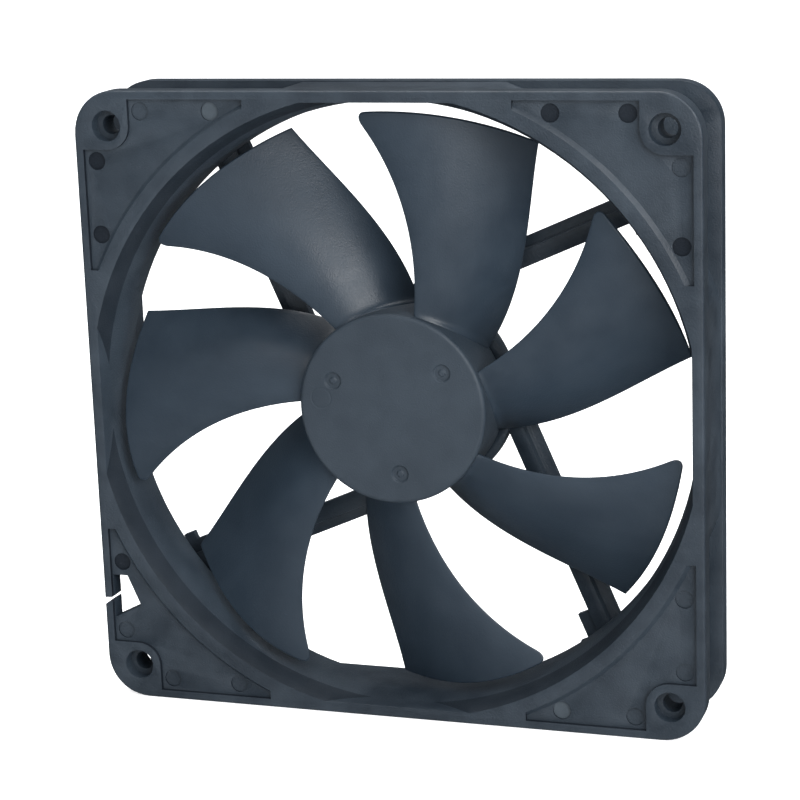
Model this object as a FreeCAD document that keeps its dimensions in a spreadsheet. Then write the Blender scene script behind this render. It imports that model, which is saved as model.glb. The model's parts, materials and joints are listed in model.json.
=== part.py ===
import FreeCAD, Part
import math
import os
import Sketcher
from FreeCAD import Placement, Rotation, Vector

# 140 mm case fan.  X is right, Y is rearward along the rotation axis, Z is up.
# The origin is the centre of the fan on the rotation axis; air enters at -Y.

document = FreeCAD.newDocument("CaseFan")

# Driving sizes, in millimetres and degrees.
driving_sizes = [
    ("frame_width", 140.0, "width and height of both flanges"),
    ("frame_depth", 25.0, "front face to rear face"),
    ("corner_radius", 9.6, "outer corners of the flanges"),
    ("flange_thickness", 4.8, "each flange, along the axis"),
    ("edge_rounding", 0.5, "outer edges of the flange faces"),
    ("hole_inset", 7.75, "screw hole centre to flange edge"),
    ("screw_hole", 4.3, "screw hole diameter"),
    ("counterbore", 6.8, "counterbore diameter, front flange"),
    ("counterbore_depth", 3.0, "counterbore depth"),
    ("boss_radius", 5.25, "raised boss round each screw hole"),
    ("boss_length", 4.0, "boss behind the front flange"),
    ("relief_depth", 1.0, "corner reliefs in the front face"),
    ("relief_tip", 2.0, "width of a relief where it ends"),
    ("relief_margin", 0.9, "edge of a relief inside the outside of the duct"),
    ("land_overlap", 0.3, "mid-side land into the rim"),
    ("land_flank", 4.0, "mid-side land beyond the end of the bore's flat"),
    ("rim_width", 1.9, "raised rim along the outer edge"),
    ("mark_diameter", 4.0, "ejector marks in the reliefs"),
    ("mark_depth", 0.45, "depth of the ejector marks"),
    ("mark_inset", 2.7, "ejector mark centre to the rim"),
    ("mark_offset", 2.6, "ejector mark centre to the boss"),
    ("mark_spacing", 16.4, "one ejector mark to the next"),
    ("throat_margin", 3.0, "smallest bore to the flange edge"),
    ("mouth_flare", 2.6, "bore radius at the front face, over the throat"),
    ("crease_flare", 0.9, "bore radius where the mouth ends, over the throat"),
    ("exit_flare", 4.6, "bore radius at the rear face, over the throat"),
    ("mouth_depth", 5.0, "length of the mouth cone"),
    ("throat_start", 9.5, "throat, distance behind the front face"),
    ("throat_end", 8.5, "throat, distance ahead of the rear face"),
    ("duct_wall", 1.9, "duct wall at its thinnest"),
    ("duct_inset", 0.3, "duct side behind the flange edge"),
    ("side_wall", 2.2, "thickness of the duct side at its flats"),
    ("tip_clearance", 1.9, "blade tip to throat"),
    ("hub_radius", 21.3, "impeller hub"),
    ("hub_setback", 4.0, "hub face behind the front face"),
    ("hub_wall", 1.6, "hub wall and face"),
    ("hub_rounding", 0.9, "rounded edge of the hub face"),
    ("hub_base_gap", 0.8, "hub skirt to motor base"),
    ("dimple_circle", 14.6, "gate dimples, radius of their circle"),
    ("dimple_angle", 36.0, "first gate dimple, from +X towards +Z"),
    ("dimple_diameter", 3.7, "gate dimple diameter"),
    ("dimple_depth", 0.5, "gate dimple depth"),
    ("dimple_draft", 0.3, "how much narrower a dimple is at its floor, radial"),
    ("gate_diameter", 1.4, "gate stub in a dimple"),
    ("gate_height", 0.3, "gate stub height"),
    ("blade_count", 7, "number of blades"),
    ("blade_thickness", 1.9, "blade at mid chord"),
    ("blade_edge", 1.0, "blade at its edges"),
    ("lead_setback", 2.4, "leading edge at the hub, behind the hub face"),
    ("lead_advance", 0.3, "leading edge, how much further forward at the tip"),
    ("lead_belly", 2.6, "leading edge, forward bow between hub and tip"),
    ("trail_setback", 0.4, "trailing edge at the hub, ahead of the hub's rear"),
    ("trail_taper", 2.3, "trailing edge, how much further forward at the tip"),
    ("trail_taper_line", 0.4, "straight share of that; the rest grows as a square"),
    ("lead_angle", 127.3, "leading edge at the hub, from +X towards +Z"),
    ("lead_sweep", 14.5, "turn of the leading edge to the tip, linear part"),
    ("lead_bow", 5.9, "turn of the leading edge to the tip, square part"),
    ("trail_angle", 83.8, "trailing edge at the hub, from +X towards +Z"),
    ("trail_sweep", 47.0, "turn of the trailing edge to the tip, linear part"),
    ("trail_bow", 17.9, "turn of the trailing edge, square part taken off"),
    ("camber_root", 2.0, "bulge of the blade towards the front, at the hub"),
    ("camber_tip", 3.7, "bulge of the blade towards the front, at the tip"),
    ("camber_skew", 0.3, "lean of the bulge towards the leading edge"),
    ("tip_rounding", 3.0, "rounded leading corner of a blade tip"),
    ("base_margin", 1.7, "motor base beyond the hub"),
    ("base_depth", 4.3, "motor base, along the axis"),
    ("base_rim", 2.0, "wall of the motor base"),
    ("base_floor", 1.4, "floor of the motor base"),
    ("label_margin", 4.0, "label recess to the edge of the base"),
    ("label_recess", 0.4, "depth of the label recess"),
    ("label_thickness", 0.2, "thickness of the label"),
    ("label_clearance", 0.25, "label to recess wall"),
    ("collar_wall", 1.0, "collar round the foot of the bearing tube"),
    ("collar_rise", 0.8, "height of the collar over the floor"),
    ("strut_angle", 23.3, "direction of the first strut"),
    ("strut_inset", 0.6, "outer side of a strut inside the edge of the base"),
    ("strut_width", 6.2, "width of a strut"),
    ("strut_plate", 1.6, "thickness of the strut plate"),
    ("strut_rib_width", 3.7, "width of the rib on the strut plate"),
    ("strut_rib_rise", 1.7, "height of the rib ridge over the plate"),
    ("strut_rib_foot", 0.3, "front lip of the plate beside the rib"),
    ("strut_lip_rise", 0.2, "height of that lip"),
    ("strut_ridge", 0.8, "flat top of the rib"),
    ("foot_reach", 6.0, "strut foot, inside the throat radius"),
    ("foot_width", 3.0, "strut foot beside the strut"),
    ("foot_step", 2.0, "step of the foot at the duct"),
    ("foot_overlap", 0.5, "strut foot into the strut"),
    ("wire_slot", 2.2, "slot in the base rim for the leads"),
    ("slot_margin", 0.2, "side of that slot inside the strut's outer side"),
    ("notch_rise", 21.0, "cable notch, upper edge over the screw hole"),
    ("notch_height", 10.3, "cable notch, height"),
    ("notch_width", 6.6, "cable notch, width"),
    ("notch_top_width", 3.6, "cable notch, width at its upper edge"),
    ("notch_knee", 3.3, "cable notch, its widest point over its lower end"),
    ("notch_wall", 2.0, "wall between the cable notch and the flange edge"),
    ("notch_slit", 0.6, "slit from the notch to the flange edge"),
    ("notch_slant", 0.2, "fall of the slit towards the flange edge"),
    ("notch_flare", 1.7, "how much wider the slit is at the flange edge"),
    ("yoke_wall", 1.0, "steel yoke"),
    ("yoke_recess", 1.7, "open end of the yoke inside the hub"),
    ("magnet_wall", 1.8, "ring magnet, radial"),
    ("magnet_recess", 0.6, "magnet inside the yoke's open end"),
    ("magnet_lead", 3.0, "floor of the yoke to the magnet"),
    ("air_gap", 0.4, "magnet to stator"),
    ("shaft_radius", 1.5, "shaft"),
    ("shaft_chamfer", 0.3, "chamfer at the end of the shaft"),
    ("bearing_clearance", 0.04, "shaft to bearing bore, radial"),
    ("bush_wall", 1.9, "shaft bush in the hub, radial"),
    ("bush_length", 2.4, "shaft bush behind the hub face wall"),
    ("tube_bore", 4.0, "bearing tube, inner radius"),
    ("tube_wall", 0.9, "bearing tube wall"),
    ("tube_gap", 0.7, "bearing tube to shaft bush"),
    ("seal_thickness", 0.6, "oil seal ring"),
    ("seal_clearance", 0.3, "oil seal ring to shaft"),
    ("clip_gap", 0.35, "retaining clip to bearing"),
    ("clip_thickness", 0.5, "retaining clip"),
    ("clip_clearance", 1.2, "retaining clip to tube bore"),
    ("clip_groove", 0.35, "groove in the shaft, radial depth"),
    ("shaft_tail", 2.6, "shaft past the retaining clip"),
    ("shaft_end_gap", 0.3, "shaft end to thrust pad"),
    ("thrust_pad", 0.7, "thrust pad thickness"),
    ("end_cap", 1.2, "bearing end cap thickness"),
    ("core_recess", 1.1, "core inside each end of the magnet"),
    ("core_ring", 2.6, "core ring round the bearing tube, radial"),
    ("tooth_width", 3.6, "stator tooth"),
    ("shoe_depth", 1.7, "pole shoe, radial"),
    ("slot_opening", 3.2, "gap between neighbouring pole shoes"),
    ("insulator_plate", 0.6, "insulator over the core"),
    ("insulator_margin", 0.5, "insulator past the tooth"),
    ("bobbin_wall", 0.7, "wall that holds the winding"),
    ("winding_depth", 1.7, "thickness of a winding"),
    ("winding_gap", 0.2, "winding to its neighbours"),
    ("pin_inset", 0.6, "terminal pin centre inside the core ring"),
    ("pin_radius", 0.3, "terminal pin"),
    ("pin_clearance", 0.15, "terminal pin to its hole, radial"),
    ("pin_tail", 0.4, "terminal pin past the board"),
    ("board_clearance", 0.7, "circuit board to the rim of the base"),
    ("board_bore_clearance", 0.2, "circuit board to the collar"),
    ("board_thickness", 1.0, "circuit board"),
    ("board_ledge", 1.1, "ledge under the board, radial"),
    ("board_setback", 0.5, "board behind the rim of the base"),
    ("hall_angle", 45.0, "Hall sensor, direction from the axis"),
    ("hall_length", 1.6, "Hall sensor, away from the axis"),
    ("hall_width", 2.9, "Hall sensor, across"),
    ("hall_height", 1.1, "Hall sensor, height"),
    ("hall_spacing", 0.0, "Hall sensor, one to the next"),
    ("driver_angle", 225.0, "driver chip, direction from the axis"),
    ("driver_length", 4.0, "driver chip, away from the axis"),
    ("driver_width", 5.0, "driver chip, across"),
    ("driver_height", 1.1, "driver chip, height"),
    ("driver_spacing", 0.0, "driver chip, one to the next"),
    ("resistor_angle", 120.0, "resistors, direction from the axis"),
    ("resistor_length", 0.8, "resistors, away from the axis"),
    ("resistor_width", 1.6, "resistors, across"),
    ("resistor_height", 0.45, "resistors, height"),
    ("resistor_spacing", 3.0, "resistors, one to the next"),
    ("capacitor_angle", 300.0, "capacitors, direction from the axis"),
    ("capacitor_length", 1.25, "capacitors, away from the axis"),
    ("capacitor_width", 2.0, "capacitors, across"),
    ("capacitor_height", 0.8, "capacitors, height"),
    ("capacitor_spacing", 4.0, "capacitors, one to the next"),
    ("pad_angle", 203.0, "lead pads, direction from the axis"),
    ("pad_length", 1.4, "lead pads, away from the axis"),
    ("pad_width", 1.4, "lead pads, across"),
    ("pad_height", 0.2, "lead pads, height"),
    ("pad_spacing", 2.6, "lead pads, one to the next"),
]

sheet = document.addObject("Spreadsheet::Sheet", "Sizes")
for row, (alias, number, meaning) in enumerate(driving_sizes, start=1):
    sheet.set(f"A{row}", alias)
    sheet.set(f"B{row}", str(number))
    sheet.set(f"C{row}", meaning)
    sheet.setAlias(f"B{row}", alias)
document.recompute()


def size(alias):
    # The number that the sheet holds under this alias.
    return float(sheet.get(alias))


# Places along the axis, as expressions of the sheet.
front_face = "(-Sizes.frame_depth / 2)"
rear_face = "(Sizes.frame_depth / 2)"
relief_floor = f"({front_face} + Sizes.relief_depth)"
front_flange_rear = f"({front_face} + Sizes.flange_thickness)"
rear_flange_front = f"({rear_face} - Sizes.flange_thickness)"
hub_face = f"({front_face} + Sizes.hub_setback)"
hub_inside = f"({hub_face} + Sizes.hub_wall)"
base_front = f"({rear_face} - Sizes.base_depth)"
hub_rear = f"({base_front} - Sizes.hub_base_gap)"
label_seat = f"({rear_face} - Sizes.label_recess)"
floor_front = f"({label_seat} - Sizes.base_floor)"
strut_plate_front = f"({rear_face} - Sizes.strut_plate)"
strut_ridge = f"({strut_plate_front} - Sizes.strut_rib_rise)"
yoke_floor = f"({hub_inside} + Sizes.yoke_wall)"
yoke_rear = f"({hub_rear} - Sizes.yoke_recess)"
magnet_rear = f"({yoke_rear} - Sizes.magnet_recess)"
magnet_front = f"({yoke_floor} + Sizes.magnet_lead)"
core_front = f"({magnet_front} + Sizes.core_recess)"
core_rear = f"({magnet_rear} - Sizes.core_recess)"
coil_front = f"({core_front} - Sizes.insulator_plate - Sizes.winding_depth)"
coil_rear = f"({core_rear} + Sizes.insulator_plate + Sizes.winding_depth)"
board_front = f"({base_front} + Sizes.board_setback)"
board_rear = f"({board_front} + Sizes.board_thickness)"
bush_rear = f"({hub_inside} + Sizes.bush_length)"
tube_front = f"({bush_rear} + Sizes.tube_gap)"
seal_rear = f"({tube_front} + Sizes.seal_thickness)"
cap_front = f"({label_seat} - Sizes.end_cap)"
pad_front = f"({cap_front} - Sizes.thrust_pad)"
shaft_end = f"({pad_front} - Sizes.shaft_end_gap)"
clip_rear = f"({shaft_end} - Sizes.shaft_tail)"
clip_front = f"({clip_rear} - Sizes.clip_thickness)"
bearing_rear = f"({clip_front} - Sizes.clip_gap)"

# Distances from the axis.
half_width = "(Sizes.frame_width / 2)"
hole_offset = f"({half_width} - Sizes.hole_inset)"
duct_side = f"({half_width} - Sizes.duct_inset)"
duct_flat = f"({duct_side} - Sizes.side_wall)"
rim_inside = f"({half_width} - Sizes.rim_width)"
duct_throat = f"({half_width} - Sizes.throat_margin)"
duct_crease = f"({duct_throat} + Sizes.crease_flare)"
duct_mouth = f"({duct_throat} + Sizes.mouth_flare)"
duct_exit = f"({duct_throat} + Sizes.exit_flare)"
duct_outer = f"({duct_exit} + Sizes.duct_wall)"
relief_ring = f"({duct_outer} - Sizes.relief_margin)"
relief_reach = f"sqrt({relief_ring} ^ 2 - ({rim_inside} - Sizes.relief_tip) ^ 2)"
base_radius = "(Sizes.hub_radius + Sizes.base_margin)"
base_inside = f"({base_radius} - Sizes.base_rim)"
label_recess_radius = f"({base_radius} - Sizes.label_margin)"
strut_outer = f"({base_radius} - Sizes.strut_inset)"
strut_inner = f"({strut_outer} - Sizes.strut_width)"
yoke_outer = "(Sizes.hub_radius - Sizes.hub_wall)"
magnet_outer = f"({yoke_outer} - Sizes.yoke_wall)"
magnet_inner = f"({magnet_outer} - Sizes.magnet_wall)"
core_outer = f"({magnet_inner} - Sizes.air_gap)"
shoe_inner = f"({core_outer} - Sizes.shoe_depth)"
bush_radius = "(Sizes.shaft_radius + Sizes.bush_wall)"
tube_outer = "(Sizes.tube_bore + Sizes.tube_wall)"
collar_radius = f"({tube_outer} + Sizes.collar_wall)"
core_ring = f"({tube_outer} + Sizes.core_ring)"
bobbin_inner = f"({core_ring} + Sizes.bobbin_wall)"
bobbin_outer = f"({shoe_inner} - Sizes.bobbin_wall)"
coil_half = "(Sizes.tooth_width / 2 + Sizes.insulator_margin)"
board_radius = f"({base_inside} - Sizes.board_clearance)"
pin_circle = f"({core_ring} - Sizes.pin_inset)"

sub_parts = []


def new_body(label, turn=0.0):
    # A body of its own, turned about the rotation axis.
    body = document.addObject("PartDesign::Body", label)
    body.Label = label
    body.Placement = Placement(Vector(0, 0, 0), Rotation(Vector(0, -1, 0), turn))
    sub_parts.append(body)
    return body


def new_sketch(body, name, role, offset=None):
    # A sketch on one of the body's origin planes, moved along the plane's normal.
    sketch = body.newObject("Sketcher::SketchObject", name)
    plane = [item for item in body.Origin.OriginFeatures if item.Role == role][0]
    sketch.AttachmentSupport = (plane, [""])
    sketch.MapMode = "FlatFace"
    if offset:
        sketch.setExpression("AttachmentOffset.Base.z", offset)
    return sketch


def tie(sketch, kind, geometry, point, expression, start):
    # One dimension from the sketch origin, bound to the sheet.
    if kind == "Radius":
        index = sketch.addConstraint(Sketcher.Constraint(kind, geometry, start))
    else:
        index = sketch.addConstraint(Sketcher.Constraint(kind, -1, 1, geometry, point, start))
    name = f"size{index}"
    sketch.renameConstraint(index, name)
    sketch.setExpression(f"Constraints.{name}", expression)


def add_outline(sketch, corners):
    # A closed outline of straight lines; every corner is tied in both directions.
    first = sketch.GeometryCount
    count = len(corners)
    step = 2 * math.pi / count
    spots = [Vector(20 + 10 * math.cos(k * step), 10 * math.sin(k * step), 0) for k in range(count)]
    for k in range(count):
        sketch.addGeometry(Part.LineSegment(spots[k], spots[(k + 1) % count]), False)
    for k in range(count):
        sketch.addConstraint(Sketcher.Constraint("Coincident", first + k, 2, first + (k + 1) % count, 1))
    for k, (across, along) in enumerate(corners):
        tie(sketch, "DistanceX", first + k, 1, across, spots[k].x)
        tie(sketch, "DistanceY", first + k, 1, along, spots[k].y)


def add_circle(sketch, across, along, radius):
    # A circle with its centre tied in both directions.
    spot = sketch.addGeometry(Part.Circle(Vector(20, 10, 0), Vector(0, 0, 1), 2.0), False)
    tie(sketch, "DistanceX", spot, 3, across, 20)
    tie(sketch, "DistanceY", spot, 3, along, 10)
    tie(sketch, "Radius", spot, 3, radius, 2.0)


def revolve(body, name, corners, cut=False):
    # A profile of (radius, place along the axis) turned about the rotation axis.
    sketch = new_sketch(body, name + "_profile", "XY_Plane")
    add_outline(sketch, corners)
    kind = "PartDesign::Groove" if cut else "PartDesign::Revolution"
    feature = body.newObject(kind, name)
    feature.Profile = sketch
    feature.ReferenceAxis = (sketch, ["V_Axis"])
    feature.Angle = 360
    return feature


def extrude(body, name, sketch, length, cut=False, rearward=True):
    # A pad or pocket along the rotation axis, from a sketch in an XZ plane.
    kind = "PartDesign::Pocket" if cut else "PartDesign::Pad"
    feature = body.newObject(kind, name)
    feature.Profile = sketch
    feature.setExpression("Length", length)
    # An XZ sketch faces forward, so a pad goes rearward when reversed and a pocket when not.
    feature.Reversed = rearward != cut
    return feature


def at_plane(place):
    # Attachment offset that puts an XZ sketch at this place along the axis.
    return f"-({place})"


def turned_part(label, corners):
    # A sub-part that is one turned profile.
    body = new_body(label)
    revolve(body, label + "_turn", corners)
    return body


def rectangle(left, bottom, right, top):
    return [(left, bottom), (right, bottom), (right, top), (left, top)]


def ring(inner, outer, front, rear):
    # The profile of a plain ring.
    return [(inner, front), (outer, front), (outer, rear), (inner, rear)]


def edge_names(shape, accept):
    return [f"Edge{k}" for k, edge in enumerate(shape.Edges, start=1) if accept(edge)]


corner_signs = [("", ""), ("-", ""), ("-", "-"), ("", "-")]

def rectangles_all_round(sketch, near, far, half_span):
    # Four equal rectangles, one across each half axis of the sketch.
    add_outline(sketch, rectangle(near, f"(-{half_span})", far, half_span))
    add_outline(sketch, rectangle(f"(-{far})", f"(-{half_span})", f"(-{near})", half_span))
    add_outline(sketch, rectangle(f"(-{half_span})", near, half_span, far))
    add_outline(sketch, rectangle(f"(-{half_span})", f"(-{far})", half_span, f"(-{near})"))


def turn_sketch(sketch, axis, angle):
    # Turns a sketch in its attachment by an angle of the sheet.
    sketch.AttachmentOffset = Placement(sketch.AttachmentOffset.Base, Rotation(axis, 10))
    sketch.setExpression("AttachmentOffset.Rotation.Angle", angle)


# Frame: two flanges, the duct between them, the motor base and its four struts, in one moulding.
def add_duct(body):
    # The mouth narrows to the throat, and the bore opens again towards the rear.
    revolve(body, "duct", [
        (duct_mouth, front_face),
        (relief_ring, front_face),
        (duct_outer, relief_floor),
        (duct_outer, rear_face),
        (duct_exit, rear_face),
        (duct_throat, f"({rear_face} - Sizes.throat_end)"),
        (duct_throat, f"({front_face} + Sizes.throat_start)"),
        (duct_crease, f"({front_face} + Sizes.mouth_depth)"),
    ])
    cut_outside(body, "flange_edges", half_width, front_face, "Sizes.frame_depth")


def cut_outside(body, name, side, place, length):
    # Removes what lies outside a square.
    outside = f"({duct_outer} * 1.2)"
    sketch = new_sketch(body, name + "_outline", "XZ_Plane", at_plane(place))
    add_outline(sketch, rectangle(f"(-{side})", f"(-{side})", side, side))
    add_outline(sketch, rectangle(f"(-{outside})", f"(-{outside})", outside, outside))
    extrude(body, name, sketch, length, cut=True)


def add_flange_plate(body, name, place, thickness):
    # A square plate round the duct.
    plate = new_sketch(body, name + "_outline", "XZ_Plane", at_plane(place))
    add_outline(plate, rectangle(f"(-{half_width})", f"(-{half_width})", half_width, half_width))
    add_circle(plate, "0", "0", duct_side)
    extrude(body, name, plate, thickness)


def add_side_walls(body):
    # The exit of the bore is cut through the rear flange, then walls close the bore at its flats.
    # Between the flanges the outside is a little deeper than the flange edges.
    throat_rear = f"({rear_face} - Sizes.throat_end)"
    revolve(body, "exit_flare", [
        (duct_throat, throat_rear),
        (duct_exit, rear_face),
        (duct_throat, rear_face),
    ], cut=True)
    inner_reach = f"(sqrt({duct_outer} ^ 2 - {duct_flat} ^ 2) * 0.9)"
    outer_reach = f"sqrt({duct_outer} ^ 2 - {half_width} ^ 2)"
    walls = new_sketch(body, "side_wall_outlines", "XZ_Plane", at_plane(front_face))
    for sign in ("", "-"):
        wall = [
            (f"({sign}{duct_flat})", f"(-{inner_reach})"),
            (f"({sign}{half_width})", f"(-{outer_reach})"),
            (f"({sign}{half_width})", outer_reach),
            (f"({sign}{duct_flat})", inner_reach),
        ]
        add_outline(walls, wall)
        add_outline(walls, [(along, across) for across, along in wall])
    extrude(body, "side_walls", walls, "Sizes.frame_depth")
    between = "Sizes.frame_depth - 2 * Sizes.flange_thickness"
    cut_outside(body, "flat_sides", duct_side, front_flange_rear, between)


def add_front_relief(body):
    # Raised rim, corner bosses and mid-side lands; the sunk corners between them are the reliefs.
    rim = new_sketch(body, "rim_outline", "XZ_Plane", at_plane(relief_floor))
    add_outline(rim, rectangle(f"(-{half_width})", f"(-{half_width})", half_width, half_width))
    add_outline(rim, rectangle(f"(-{rim_inside})", f"(-{rim_inside})", rim_inside, rim_inside))
    extrude(body, "rim", rim, "Sizes.relief_depth", rearward=False)

    boss_side = f"({hole_offset} - Sizes.boss_radius)"
    bosses = new_sketch(body, "boss_outlines", "XZ_Plane", at_plane(relief_floor))
    for across, along in corner_signs:
        near_x = f"({across}{boss_side})"
        far_x = f"({across}{half_width})"
        near_z = f"({along}{boss_side})"
        far_z = f"({along}{half_width})"
        add_outline(bosses, rectangle(near_x, near_z, far_x, far_z))
    extrude(body, "bosses", bosses, "Sizes.relief_depth", rearward=False)

    # A land reaches from the bore's flat to the rim; its ends close the narrow tips of the reliefs.
    land_end = f"({rim_inside} - Sizes.relief_tip - Sizes.land_overlap)"
    mouth_reach = f"(sqrt({duct_mouth} ^ 2 - {duct_flat} ^ 2) + Sizes.land_flank)"
    lands = new_sketch(body, "land_outlines", "XZ_Plane", at_plane(relief_floor))
    for sign in ("", "-"):
        land = [
            (f"({sign}{half_width})", relief_reach),
            (f"({sign}{land_end})", relief_reach),
            (f"({sign}{duct_flat})", mouth_reach),
            (f"({sign}{duct_flat})", f"(-{mouth_reach})"),
            (f"({sign}{land_end})", f"(-{relief_reach})"),
            (f"({sign}{half_width})", f"(-{relief_reach})"),
        ]
        add_outline(lands, land)
        add_outline(lands, [(along, across) for across, along in land])
    extrude(body, "lands", lands, "Sizes.relief_depth", rearward=False)


def add_struts(body):
    # Each strut runs tangentially past the base: a plate with a rib whose front slopes.
    # It ends inside the rear flange, and a stepped foot widens it where it meets the duct.
    ridge = f"({strut_inner} + Sizes.strut_rib_width)"
    section = new_sketch(body, "strut_section", "YZ_Plane")
    turn_sketch(section, Vector(-1, 0, 0), "Sizes.strut_angle")
    add_outline(section, [
        (rear_face, strut_inner),
        (rear_face, strut_outer),
        (strut_plate_front, strut_outer),
        (f"({strut_plate_front} - Sizes.strut_lip_rise)", f"({ridge} + Sizes.strut_rib_foot)"),
        (strut_ridge, ridge),
        (strut_ridge, f"({ridge} - Sizes.strut_ridge)"),
        (f"({strut_plate_front} - Sizes.strut_rib_rise / 2)", strut_inner),
    ])
    strut = body.newObject("PartDesign::Pad", "strut")
    strut.Profile = section
    strut.setExpression("Length", f"sqrt({duct_outer} ^ 2 - {strut_inner} ^ 2)")

    foot_start = f"({duct_throat} - Sizes.foot_reach)"
    foot_end = f"sqrt({duct_exit} ^ 2 - {strut_inner} ^ 2)"
    foot_side = f"({strut_inner} - Sizes.foot_width)"
    foot = new_sketch(body, "strut_foot_outline", "XZ_Plane", at_plane(rear_face))
    turn_sketch(foot, Vector(0, 0, 1), "Sizes.strut_angle")
    add_outline(foot, [
        (foot_start, f"({strut_inner} + Sizes.foot_overlap)"),
        (foot_start, foot_side),
        (duct_throat, foot_side),
        (duct_throat, f"({foot_side} - Sizes.foot_step)"),
        (foot_end, f"({foot_side} - Sizes.foot_step)"),
        (foot_end, f"({strut_inner} + Sizes.foot_overlap)"),
    ])
    foot_pad = extrude(body, "strut_foot", foot, "Sizes.strut_plate", rearward=False)

    struts = body.newObject("PartDesign::PolarPattern", "struts")
    struts.Originals = [strut, foot_pad]
    axis = [item for item in body.Origin.OriginFeatures if item.Role == "Y_Axis"][0]
    struts.Axis = (axis, [""])
    struts.Angle = 360
    struts.Occurrences = 4
    body.Tip = struts


def add_motor_base(body):
    # A disc, hollowed so that a ledge carries the circuit board and a collar the bearing tube.
    disc = new_sketch(body, "base_disc", "XZ_Plane", at_plane(rear_face))
    add_circle(disc, "0", "0", base_radius)
    extrude(body, "motor_base", disc, "Sizes.base_depth", rearward=False)

    ledge_inside = f"({base_inside} - Sizes.board_ledge)"
    collar_front = f"({floor_front} - Sizes.collar_rise)"
    ahead = f"({base_front} - 5)"
    behind = f"({rear_face} + 5)"
    revolve(body, "base_hollow", [
        ("0", ahead),
        (base_inside, ahead),
        (base_inside, board_rear),
        (ledge_inside, board_rear),
        (ledge_inside, floor_front),
        (collar_radius, floor_front),
        (collar_radius, collar_front),
        ("0", collar_front),
    ], cut=True)
    revolve(body, "tube_hole", ring("0", tube_outer, ahead, behind), cut=True)
    revolve(body, "label_recess", ring("0", label_recess_radius, label_seat, behind), cut=True)

    # Slot in the rim of the base, over the plate of the third strut, where the leads run out.
    slot = new_sketch(body, "wire_slot_outline", "XZ_Plane", at_plane(base_front))
    turn_sketch(slot, Vector(0, 0, 1), "Sizes.strut_angle + 180")
    slot_outer = f"({strut_outer} - Sizes.slot_margin)"
    add_outline(slot, rectangle("0", f"({slot_outer} - Sizes.wire_slot)", base_radius, slot_outer))
    extrude(body, "wire_slot", slot, "Sizes.base_depth - Sizes.strut_plate", cut=True)


def round_upright_edges(body, name, distance, radius, front, rear):
    # Rounds the edges along the axis that stand at this distance from both centre lines.
    document.recompute()
    base = body.Tip

    def chosen(edge):
        box = edge.BoundBox
        straight = box.XLength < 0.01 and box.ZLength < 0.01
        at_corner = abs(abs(box.XMin) - distance) < 0.01 and abs(abs(box.ZMin) - distance) < 0.01
        return straight and at_corner and front - 0.01 < box.YMin and box.YMax < rear + 0.01

    fillet = body.newObject("PartDesign::Fillet", name)
    fillet.Base = (base, edge_names(base.Shape, chosen))
    fillet.setExpression("Radius", radius)
    document.recompute()


def add_rear_bosses(body):
    # Round bosses behind the front flange lengthen the screw holes.
    bosses = new_sketch(body, "rear_boss_outlines", "XZ_Plane", at_plane(front_flange_rear))
    for across, along in corner_signs:
        add_circle(bosses, f"({across}{hole_offset})", f"({along}{hole_offset})", "Sizes.boss_radius")
    extrude(body, "rear_bosses", bosses, "Sizes.boss_length")


def add_screw_holes(body):
    holes = new_sketch(body, "screw_hole_outlines", "XZ_Plane", at_plane(front_face))
    bores = new_sketch(body, "counterbore_outlines", "XZ_Plane", at_plane(front_face))
    for across, along in corner_signs:
        place = (f"({across}{hole_offset})", f"({along}{hole_offset})")
        add_circle(holes, place[0], place[1], "Sizes.screw_hole / 2")
        add_circle(bores, place[0], place[1], "Sizes.counterbore / 2")
    extrude(body, "screw_holes", holes, "Sizes.frame_depth", cut=True)
    extrude(body, "counterbores", bores, "Sizes.counterbore_depth", cut=True)


def add_ejector_marks(body):
    mark_line = f"({rim_inside} - Sizes.mark_inset)"
    mark_far = f"({hole_offset} - Sizes.boss_radius - Sizes.mark_offset)"
    mark_near = f"({mark_far} - Sizes.mark_spacing)"
    marks = new_sketch(body, "ejector_mark_outlines", "XZ_Plane", at_plane(relief_floor))
    for across, along in corner_signs:
        for distance in (mark_near, mark_far):
            add_circle(marks, f"({across}{distance})", f"({along}{mark_line})", "Sizes.mark_diameter / 2")
            add_circle(marks, f"({across}{mark_line})", f"({along}{distance})", "Sizes.mark_diameter / 2")
    extrude(body, "ejector_marks", marks, "Sizes.mark_depth", cut=True)


def add_cable_notch(body):
    # A tapering window in the lower left of the front flange, open to the edge by a slanted slit.
    notch = new_sketch(body, "cable_notch_outline", "XZ_Plane", at_plane(front_face))
    left = f"(-{half_width} + Sizes.notch_wall)"
    top = f"(-{hole_offset} + Sizes.notch_rise)"
    bottom = f"({top} - Sizes.notch_height)"
    slit_top = f"({top} - Sizes.notch_height / 2)"
    outside = f"(-{half_width} - 1)"
    add_outline(notch, [
        (left, top),
        (f"({left} + Sizes.notch_top_width)", top),
        (f"({left} + Sizes.notch_width)", f"({bottom} + Sizes.notch_knee)"),
        (left, bottom),
        (left, f"({slit_top} - Sizes.notch_slit)"),
        (outside, f"({slit_top} - Sizes.notch_slant - Sizes.notch_slit - Sizes.notch_flare)"),
        (outside, f"({slit_top} - Sizes.notch_slant)"),
        (left, slit_top),
    ])
    extrude(body, "cable_notch", notch, "Sizes.flange_thickness", cut=True)


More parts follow.
